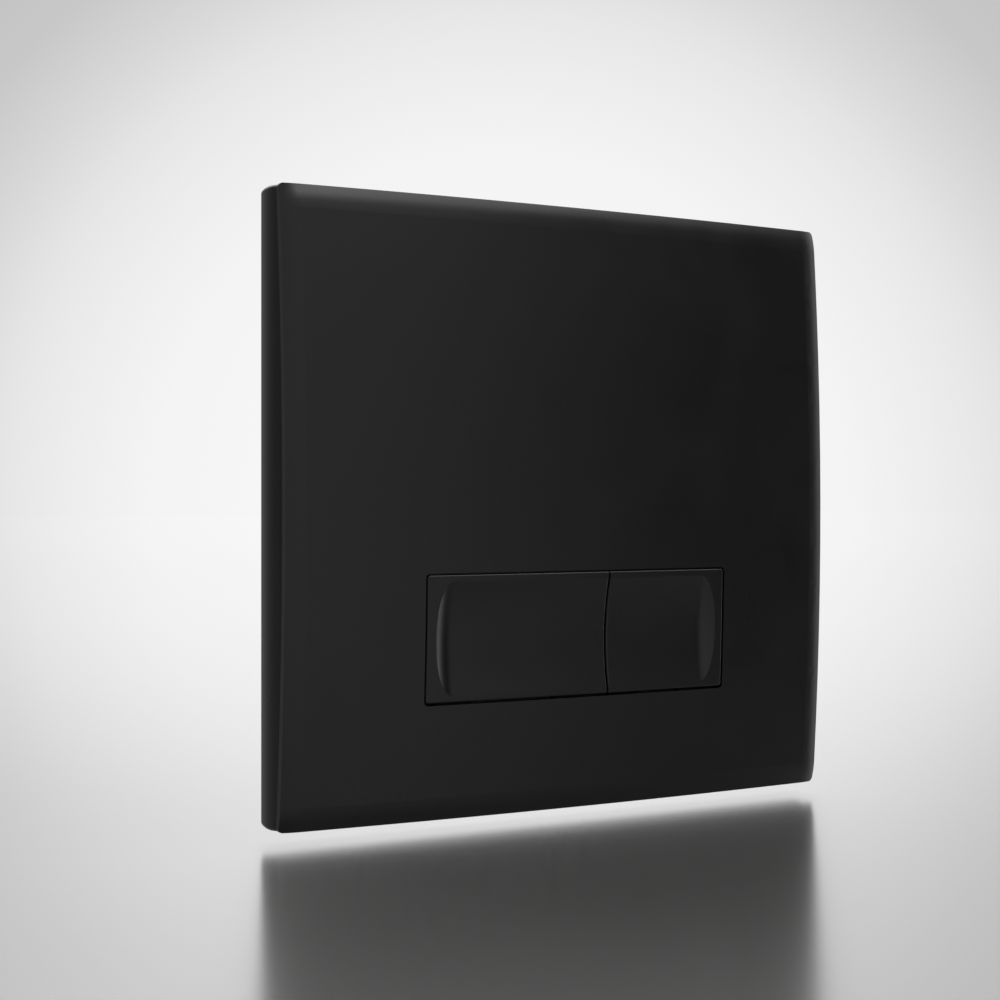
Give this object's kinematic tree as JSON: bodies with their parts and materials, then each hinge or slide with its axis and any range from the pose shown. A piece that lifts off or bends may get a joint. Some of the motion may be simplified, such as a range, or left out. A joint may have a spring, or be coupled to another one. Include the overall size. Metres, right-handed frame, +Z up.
{
  "type": "flush button plate",
  "caption": "Crowned square wall plate for a concealed cistern, with a large and a small hinged flush button in one window that push rods through a mounting frame.",
  "frame": {"origin": "middle of the plate on the wall's surface, which is the plane of the rim's back face", "axes": "+X right seen from the front, +Y into the wall, +Z up; the front faces -Y"},
  "size_m": [0.176, 0.0759, 0.16],
  "materials": {
    "cover_abs": "fine satin black",
    "rim_abs": "fine satin black",
    "button_abs": "fine satin black",
    "frame_abs": "moulded grey",
    "rod_steel": "ground",
    "spring_steel": "rolled strip",
    "zinc_steel": "zinc plated",
    "black_rubber": "matt",
    "guide_acetal": "moulded white",
    "rod_acetal": "moulded white",
    "cap_acetal": "moulded blue",
    "stud_nylon": "moulded natural"
  },
  "bodies": {
    "plate": {"front_cover": "cover_abs", "outer_rim": "rim_abs", "mounting_frame": "frame_abs", "hinge_rod": "rod_steel", "hinge_rod_clips": "spring_steel", "large_button_spring": "spring_steel", "small_button_spring": "spring_steel", "spring_screws": "zinc_steel", "rim_screws": "zinc_steel", "cover_grommets": "black_rubber", "large_rod_guide": "guide_acetal", "small_rod_guide": "guide_acetal", "fixing_studs": "stud_nylon", "fixing_washers": "zinc_steel", "fixing_nuts": "stud_nylon"},
    "large_button": {"large_button": "button_abs", "large_button_pads": "black_rubber"},
    "small_button": {"small_button": "button_abs", "small_button_pads": "black_rubber"},
    "large_push_rod": {"large_push_rod": "rod_acetal", "large_rod_cap": "cap_acetal", "large_rod_foot": "black_rubber"},
    "small_push_rod": {"small_push_rod": "rod_acetal", "small_rod_cap": "cap_acetal", "small_rod_foot": "black_rubber"}
  },
  "joints": [
    {"name": "large_button_hinge", "type": "hinge", "parent": "plate", "child": "large_button", "pos_m": [-0.02027, -0.01102, -0.0115], "axis": [1, 0, 0], "range_deg": [0, 7], "stiffness_Nm_per_rad": 0.6, "springref_deg": -8.59, "deforming": ["large_button_spring"]},
    {"name": "large_rod_slide", "type": "slide", "parent": "plate", "child": "large_push_rod", "axis": [0, 1, 0], "range_m": [0, 0.0032]},
    {"name": "small_button_hinge", "type": "hinge", "parent": "plate", "child": "small_button", "pos_m": [0.02867, -0.01102, -0.0115], "axis": [1, 0, 0], "range_deg": [0, 7], "stiffness_Nm_per_rad": 0.6, "springref_deg": -8.59, "deforming": ["small_button_spring"]},
    {"name": "small_rod_slide", "type": "slide", "parent": "plate", "child": "small_push_rod", "axis": [0, 1, 0], "range_m": [0, 0.0032]}
  ],
  "couplings": [
    {"joint": "large_rod_slide", "follows": "large_button_hinge", "m_per_rad": 0.026},
    {"joint": "small_rod_slide", "follows": "small_button_hinge", "m_per_rad": 0.026}
  ]
}
